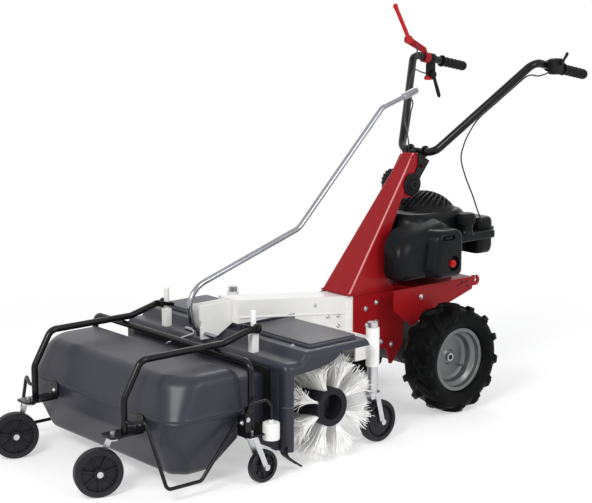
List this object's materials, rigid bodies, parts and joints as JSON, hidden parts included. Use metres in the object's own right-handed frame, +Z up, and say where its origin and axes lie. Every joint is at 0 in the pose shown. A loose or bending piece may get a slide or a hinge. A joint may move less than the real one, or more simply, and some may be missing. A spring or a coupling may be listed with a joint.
{
  "type": "power brush sweeper",
  "caption": "Walk-behind brush sweeper: two-wheel tractor with a front roller brush under a hood and a caster-borne collecting hopper lifted by a lever.",
  "frame": {"origin": "centre of the bounding box on the ground", "axes": "+Z up, forward travel along -Y, the operator's left along +X"},
  "size_m": [0.9126, 2.0632, 1.3366],
  "materials": {
    "red_paint": "gloss enamel",
    "red_plastic": "smooth moulding",
    "cast_grey": "painted casting",
    "black_paint": "satin powder coat",
    "black_plastic": "fine grain",
    "grip_rubber": "ribbed matt",
    "engine_metal": "dark casting",
    "engine_plastic": "satin moulding",
    "cable_sheath": "smooth sheath",
    "ivory_paint": "satin enamel",
    "hood_plastic": "rotation moulded grain",
    "bright_steel": "turned",
    "chromed_steel": "bright plating",
    "rim_paint": "silver enamel",
    "tyre_rubber": "matt rubber",
    "core_plastic": "smooth tube",
    "bristle_fibre": "crimped fibre",
    "zinc_steel": "zinc plated",
    "wheel_plastic": "hard rubber",
    "latch_steel": "coated rod with a white weight"
  },
  "bodies": {
    "tractor": {"chassis_frame": "red_paint", "gearbox_case": "cast_grey", "engine_deck": "red_paint", "column": "red_paint", "column_cap": "black_plastic", "handle_bracket": "black_paint", "left_handle": "black_paint", "right_handle": "black_paint", "grips": "grip_rubber", "engine_block": "engine_metal", "blower_housing": "engine_plastic", "recoil_grille": "engine_plastic", "fuel_tank": "engine_plastic", "filter_cover": "engine_plastic", "control_bracket": "red_paint", "trigger_clamp": "black_plastic", "throttle_body": "black_plastic", "throttle_cable": "cable_sheath", "clutch_cables": "cable_sheath", "beam": "ivory_paint", "brush_gearbox": "cast_grey", "hood": "hood_plastic", "hook_posts": "ivory_paint", "stem_brackets": "ivory_paint", "dust_flaps": "grip_rubber"},
    "drive_axle": {"axle_shaft": "bright_steel", "drive_rims": "rim_paint", "drive_tyres": "tyre_rubber"},
    "brush": {"brush_shaft": "bright_steel", "brush_cores": "core_plastic", "bristles": "bristle_fibre"},
    "hopper": {"hopper_upper": "hood_plastic", "hopper_lower": "hood_plastic", "hopper_hoops": "black_paint", "rear_bow": "black_paint", "side_loops": "black_paint", "front_caster_plates": "black_paint", "rear_caster_brackets": "black_paint"},
    "clutch_lever_body": {"clutch_lever": "red_plastic"},
    "trigger_lever_body": {"trigger_lever": "black_plastic"},
    "throttle_lever_body": {"throttle_lever": "black_plastic"},
    "fuel_cap_body": {"fuel_cap": "engine_plastic"},
    "filter_knob_body": {"filter_knob": "red_plastic"},
    "lock_knob_body": {"lock_knob": "black_plastic"},
    "lift_lever_body": {"lift_lever": "chromed_steel"},
    "left_support_leg_body": {"left_support_leg": "zinc_steel"},
    "right_support_leg_body": {"right_support_leg": "zinc_steel"},
    "left_support_wheel_body": {"left_support_wheel": "wheel_plastic"},
    "right_support_wheel_body": {"right_support_wheel": "wheel_plastic"},
    "left_latch_body": {"left_latch": "latch_steel"},
    "right_latch_body": {"right_latch": "latch_steel"},
    "front_left_fork_body": {"front_left_fork": "zinc_steel"},
    "front_right_fork_body": {"front_right_fork": "zinc_steel"},
    "rear_left_fork_body": {"rear_left_fork": "zinc_steel"},
    "rear_right_fork_body": {"rear_right_fork": "zinc_steel"},
    "front_left_wheel_body": {"front_left_wheel": "wheel_plastic"},
    "front_right_wheel_body": {"front_right_wheel": "wheel_plastic"},
    "rear_left_wheel_body": {"rear_left_wheel": "wheel_plastic"},
    "rear_right_wheel_body": {"rear_right_wheel": "wheel_plastic"}
  },
  "joints": [
    {"name": "drive_turn", "type": "hinge", "parent": "tractor", "child": "drive_axle", "pos_m": [0, 0.41208, 0.181], "axis": [1, 0, 0], "continuous": true},
    {"name": "brush_turn", "type": "hinge", "parent": "tractor", "child": "brush", "pos_m": [0, -0.25092, 0.168], "axis": [1, 0, 0], "continuous": true},
    {"name": "hopper_lift", "type": "hinge", "parent": "tractor", "child": "hopper", "pos_m": [0, -0.40592, 0.404], "axis": [-1, 0, 0], "range_deg": [0, 9]},
    {"name": "lever_pull", "type": "hinge", "parent": "tractor", "child": "lift_lever_body", "pos_m": [0, -0.43592, 0.352], "axis": [-1, 0, 0], "range_deg": [0, 9]},
    {"name": "left_latch_swing", "type": "hinge", "parent": "hopper", "child": "left_latch_body", "pos_m": [0.4313, -0.59092, 0.228], "axis": [1, 0, 0], "range_deg": [0, 30]},
    {"name": "front_left_swivel", "type": "hinge", "parent": "hopper", "child": "front_left_fork_body", "pos_m": [0.228, -0.91992, 0.172], "axis": [0, 0, 1], "continuous": true},
    {"name": "front_left_roll", "type": "hinge", "parent": "front_left_fork_body", "child": "front_left_wheel_body", "pos_m": [0.21295, -0.96127, 0.071], "axis": [0.9397, -0.342, 0], "continuous": true},
    {"name": "rear_left_swivel", "type": "hinge", "parent": "hopper", "child": "rear_left_fork_body", "pos_m": [0.416, -0.57292, 0.15], "axis": [0, 0, 1], "range_deg": [-180, 80]},
    {"name": "rear_left_roll", "type": "hinge", "parent": "rear_left_fork_body", "child": "rear_left_wheel_body", "pos_m": [0.416, -0.53092, 0.0485], "axis": [1, 0, 0], "continuous": true},
    {"name": "left_support_slide", "type": "slide", "parent": "tractor", "child": "left_support_leg_body", "axis": [0, 0, 1], "range_m": [-0.03, 0.04]},
    {"name": "left_support_roll", "type": "hinge", "parent": "left_support_leg_body", "child": "left_support_wheel_body", "pos_m": [0.35, -0.01092, 0.0675], "axis": [1, 0, 0], "continuous": true},
    {"name": "right_latch_swing", "type": "hinge", "parent": "hopper", "child": "right_latch_body", "pos_m": [-0.4313, -0.59092, 0.228], "axis": [1, 0, 0], "range_deg": [0, 30]},
    {"name": "front_right_swivel", "type": "hinge", "parent": "hopper", "child": "front_right_fork_body", "pos_m": [-0.228, -0.91992, 0.172], "axis": [0, 0, 1], "continuous": true},
    {"name": "front_right_roll", "type": "hinge", "parent": "front_right_fork_body", "child": "front_right_wheel_body", "pos_m": [-0.24305, -0.96127, 0.071], "axis": [0.9397, -0.342, 0], "continuous": true},
    {"name": "rear_right_swivel", "type": "hinge", "parent": "hopper", "child": "rear_right_fork_body", "pos_m": [-0.416, -0.57292, 0.15], "axis": [0, 0, 1], "range_deg": [-80, 180]},
    {"name": "rear_right_roll", "type": "hinge", "parent": "rear_right_fork_body", "child": "rear_right_wheel_body", "pos_m": [-0.416, -0.53092, 0.0485], "axis": [1, 0, 0], "continuous": true},
    {"name": "right_support_slide", "type": "slide", "parent": "tractor", "child": "right_support_leg_body", "axis": [0, 0, 1], "range_m": [-0.03, 0.04]},
    {"name": "right_support_roll", "type": "hinge", "parent": "right_support_leg_body", "child": "right_support_wheel_body", "pos_m": [-0.35, -0.01092, 0.0675], "axis": [1, 0, 0], "continuous": true},
    {"name": "clutch_pull", "type": "hinge", "parent": "tractor", "child": "clutch_lever_body", "pos_m": [-0.27874, 0.72808, 1.205], "axis": [-1, 0, 0], "range_deg": [0, 40]},
    {"name": "trigger_pull", "type": "hinge", "parent": "tractor", "child": "trigger_lever_body", "pos_m": [-0.27403, 0.84986, 1.07391], "axis": [1, 0, 0], "range_deg": [0, 30], "stiffness_Nm_per_rad": 1.2},
    {"name": "throttle_turn", "type": "hinge", "parent": "tractor", "child": "throttle_lever_body", "pos_m": [0.3297, 0.85348, 1.1468], "axis": [1, 0, 0], "range_deg": [-35, 35]},
    {"name": "fuel_cap_turn", "type": "hinge", "parent": "tractor", "child": "fuel_cap_body", "pos_m": [0.137, 0.60408, 0.6], "axis": [0, 0, 1], "range_deg": [0, 120]},
    {"name": "filter_knob_turn", "type": "hinge", "parent": "tractor", "child": "filter_knob_body", "pos_m": [0.196, 0.47008, 0.485], "axis": [1, 0, 0], "range_deg": [0, 90]},
    {"name": "lock_knob_turn", "type": "hinge", "parent": "tractor", "child": "lock_knob_body", "pos_m": [0, 0.43608, 0.738], "axis": [1, 0, 0], "range_deg": [-90, 90]}
  ],
  "couplings": [
    {"joint": "lever_pull", "follows": "hopper_lift", "ratio": 1}
  ]
}
